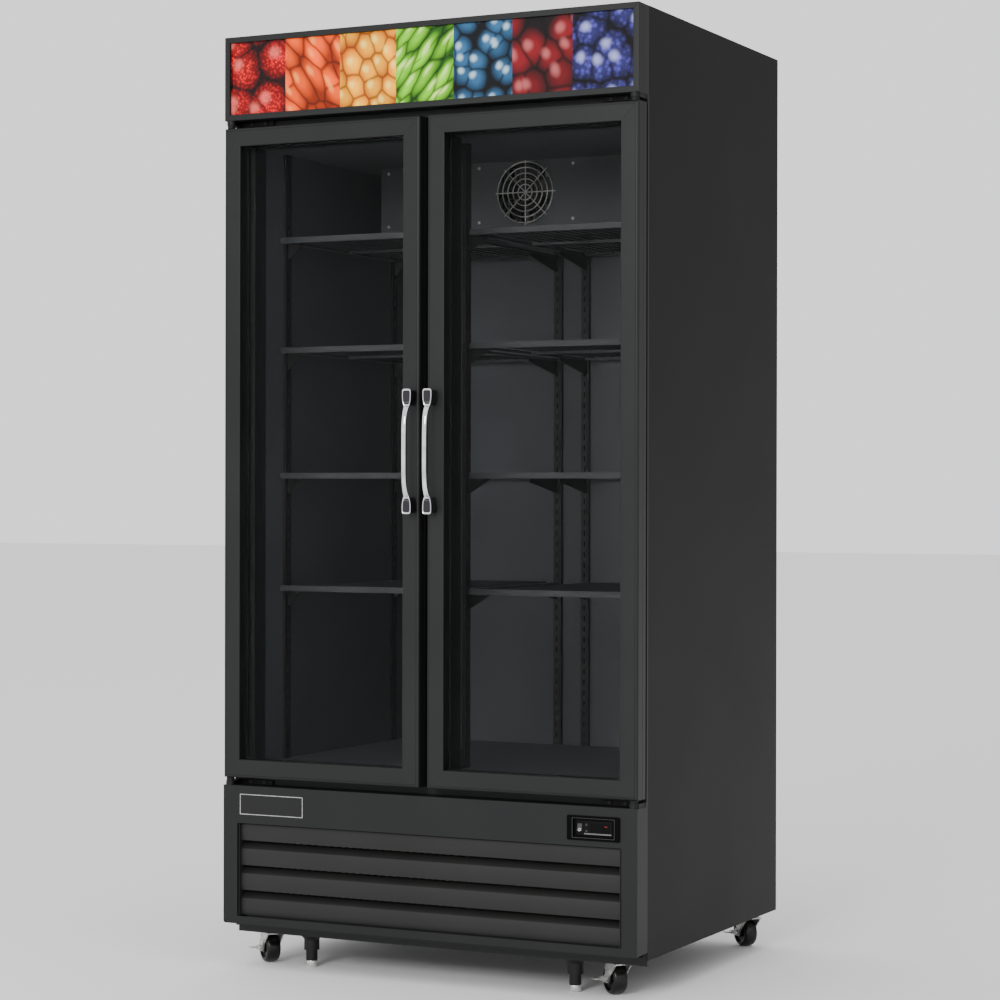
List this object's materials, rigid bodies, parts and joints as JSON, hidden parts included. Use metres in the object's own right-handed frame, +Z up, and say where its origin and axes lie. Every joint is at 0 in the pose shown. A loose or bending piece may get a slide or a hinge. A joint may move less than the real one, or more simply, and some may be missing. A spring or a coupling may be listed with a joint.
{
  "type": "freezer merchandiser",
  "caption": "Upright freezer merchandiser with two hinged glass doors, lit sign header, louvred grille with controls, wire shelves, casters and levelling feet.",
  "frame": {"origin": "on the floor, at the middle of the overall plan, handles included", "axes": "+Z up, -Y out of the doors towards the customer, +X to the right of someone facing the doors"},
  "size_m": [1, 0.857, 2.06],
  "materials": {
    "cabinet_steel": "fine matt",
    "foam": "cellular",
    "liner": "matt dark coating",
    "breaker": "matt",
    "front_steel": "satin",
    "header_steel": "satin",
    "sign": "translucent printed sheet",
    "light_bar": "frosted",
    "door_metal": "satin dark",
    "glass": "clear",
    "gasket": "soft matt",
    "chrome": "polished",
    "hinge_steel": "satin",
    "nylon": "matt",
    "screw": "black",
    "grille_steel": "satin",
    "bezel": "gloss",
    "controller": "matt",
    "key": "matt",
    "switch": "gloss, with a red pilot lamp",
    "standard": "satin",
    "shelf_wire": "coated wire",
    "shelf_bracket": "satin",
    "fin": "mill",
    "cover": "matt coating",
    "fan_plastic": "matt",
    "fan_metal": "mill",
    "motor": "satin",
    "shroud": "galvanised",
    "compressor": "gloss black",
    "copper": "drawn tube",
    "electrical": "matt",
    "tray": "matt",
    "zinc": "zinc plated",
    "wheel": "matt",
    "leg": "matt",
    "foot": "plated"
  },
  "bodies": {
    "cabinet": {"left_side_panel": "cabinet_steel", "right_side_panel": "cabinet_steel", "rear_panel": "cabinet_steel", "top_panel": "cabinet_steel", "foam_insulation": "foam", "interior_liner": "liner", "breaker_strips": "breaker", "front_frame": "front_steel", "header_housing": "header_steel", "header_sign": "sign", "led_light_bars": "light_bar", "hinge_brackets": "hinge_steel", "hinge_bushes": "nylon", "hinge_screws": "screw", "grille_panel": "grille_steel", "grille_louvres": "grille_steel", "control_bezel": "bezel", "temperature_controller": "controller", "shelf_pilasters": "standard", "left_shelves": "shelf_wire", "right_shelves": "shelf_wire", "shelf_brackets": "shelf_bracket", "evaporator_coil": "fin", "condenser_coil": "fin", "evaporator_cover": "cover", "fan_motors": "motor", "condenser_shroud": "shroud", "compressor": "compressor", "refrigerant_lines": "copper", "electrical_box": "electrical", "base_tray": "tray", "caster_plates": "zinc", "leg_tubes": "leg"},
    "left_door": {"left_door_frame": "door_metal", "left_door_glass": "glass", "left_door_gasket": "gasket", "left_door_handle": "chrome"},
    "right_door": {"right_door_frame": "door_metal", "right_door_glass": "glass", "right_door_gasket": "gasket", "right_door_handle": "chrome"},
    "front_left_fork": {"front_left_fork": "zinc"},
    "front_left_wheel": {"front_left_wheel": "wheel"},
    "front_left_brake": {"front_left_brake": "zinc"},
    "front_right_fork": {"front_right_fork": "zinc"},
    "front_right_wheel": {"front_right_wheel": "wheel"},
    "front_right_brake": {"front_right_brake": "zinc"},
    "rear_left_fork": {"rear_left_fork": "zinc"},
    "rear_left_wheel": {"rear_left_wheel": "wheel"},
    "rear_left_brake": {"rear_left_brake": "zinc"},
    "rear_right_fork": {"rear_right_fork": "zinc"},
    "rear_right_wheel": {"rear_right_wheel": "wheel"},
    "rear_right_brake": {"rear_right_brake": "zinc"},
    "left_foot": {"left_foot": "foot"},
    "right_foot": {"right_foot": "foot"},
    "evaporator_fan": {"evaporator_fan": "fan_plastic"},
    "condenser_fan": {"condenser_fan": "fan_metal"},
    "controller_key_up": {"controller_key_up": "key"},
    "controller_key_down": {"controller_key_down": "key"},
    "light_switch": {"light_switch": "switch"}
  },
  "joints": [
    {"name": "left_door_hinge", "type": "hinge", "parent": "cabinet", "child": "left_door", "pos_m": [-0.488, -0.3735, 0.42], "axis": [0, 0, -1], "range_deg": [0, 110], "stiffness_Nm_per_rad": 2, "springref_deg": -34.38},
    {"name": "right_door_hinge", "type": "hinge", "parent": "cabinet", "child": "right_door", "pos_m": [0.488, -0.3735, 0.42], "axis": [0, 0, 1], "range_deg": [0, 110], "stiffness_Nm_per_rad": 2, "springref_deg": -34.38},
    {"name": "front_left_swivel", "type": "hinge", "parent": "cabinet", "child": "front_left_fork", "pos_m": [-0.423, -0.2995, 0.0736], "axis": [0, 0, 1], "continuous": true},
    {"name": "front_left_roll", "type": "hinge", "parent": "front_left_fork", "child": "front_left_wheel", "pos_m": [-0.43699, -0.28817, 0.0326], "axis": [-0.6293, -0.7771, 0], "continuous": true},
    {"name": "front_left_brake_press", "type": "hinge", "parent": "front_left_fork", "child": "front_left_brake", "pos_m": [-0.43699, -0.28817, 0.0326], "axis": [-0.6293, -0.7771, 0], "range_deg": [0, 25]},
    {"name": "front_right_swivel", "type": "hinge", "parent": "cabinet", "child": "front_right_fork", "pos_m": [0.423, -0.2995, 0.0736], "axis": [0, 0, 1], "continuous": true},
    {"name": "front_right_roll", "type": "hinge", "parent": "front_right_fork", "child": "front_right_wheel", "pos_m": [0.40901, -0.28817, 0.0326], "axis": [-0.6293, -0.7771, 0], "continuous": true},
    {"name": "front_right_brake_press", "type": "hinge", "parent": "front_right_fork", "child": "front_right_brake", "pos_m": [0.40901, -0.28817, 0.0326], "axis": [-0.6293, -0.7771, 0], "range_deg": [0, 25]},
    {"name": "rear_left_swivel", "type": "hinge", "parent": "cabinet", "child": "rear_left_fork", "pos_m": [-0.452, 0.3805, 0.0736], "axis": [0, 0, 1], "continuous": true},
    {"name": "rear_left_roll", "type": "hinge", "parent": "rear_left_fork", "child": "rear_left_wheel", "pos_m": [-0.43801, 0.39183, 0.032], "axis": [-0.6293, 0.7771, 0], "continuous": true},
    {"name": "rear_left_brake_press", "type": "hinge", "parent": "rear_left_fork", "child": "rear_left_brake", "pos_m": [-0.43801, 0.39183, 0.032], "axis": [-0.6293, 0.7771, 0], "range_deg": [0, 25]},
    {"name": "rear_right_swivel", "type": "hinge", "parent": "cabinet", "child": "rear_right_fork", "pos_m": [0.452, 0.3805, 0.0736], "axis": [0, 0, 1], "continuous": true},
    {"name": "rear_right_roll", "type": "hinge", "parent": "rear_right_fork", "child": "rear_right_wheel", "pos_m": [0.43801, 0.39183, 0.032], "axis": [-0.6293, -0.7771, 0], "continuous": true},
    {"name": "rear_right_brake_press", "type": "hinge", "parent": "rear_right_fork", "child": "rear_right_brake", "pos_m": [0.43801, 0.39183, 0.032], "axis": [-0.6293, -0.7771, 0], "range_deg": [0, 25]},
    {"name": "left_foot_extend", "type": "slide", "parent": "cabinet", "child": "left_foot", "axis": [0, 0, -1], "range_m": [0, 0.02]},
    {"name": "right_foot_extend", "type": "slide", "parent": "cabinet", "child": "right_foot", "axis": [0, 0, -1], "range_m": [0, 0.02]},
    {"name": "evaporator_fan_spin", "type": "hinge", "parent": "cabinet", "child": "evaporator_fan", "pos_m": [0, 0.134, 1.743], "axis": [0, 1, 0], "continuous": true},
    {"name": "condenser_fan_spin", "type": "hinge", "parent": "cabinet", "child": "condenser_fan", "pos_m": [-0.195, -0.173, 0.206], "axis": [0, 1, 0], "continuous": true},
    {"name": "controller_key_up_press", "type": "slide", "parent": "cabinet", "child": "controller_key_up", "axis": [0, 1, 0], "range_m": [0, 0.0008], "stiffness_N_per_m": 300},
    {"name": "controller_key_down_press", "type": "slide", "parent": "cabinet", "child": "controller_key_down", "axis": [0, 1, 0], "range_m": [0, 0.0008], "stiffness_N_per_m": 300},
    {"name": "light_switch_rock", "type": "hinge", "parent": "cabinet", "child": "light_switch", "pos_m": [0.36725, -0.3765, 0.3577], "axis": [1, 0, 0], "range_deg": [0, 20]}
  ]
}
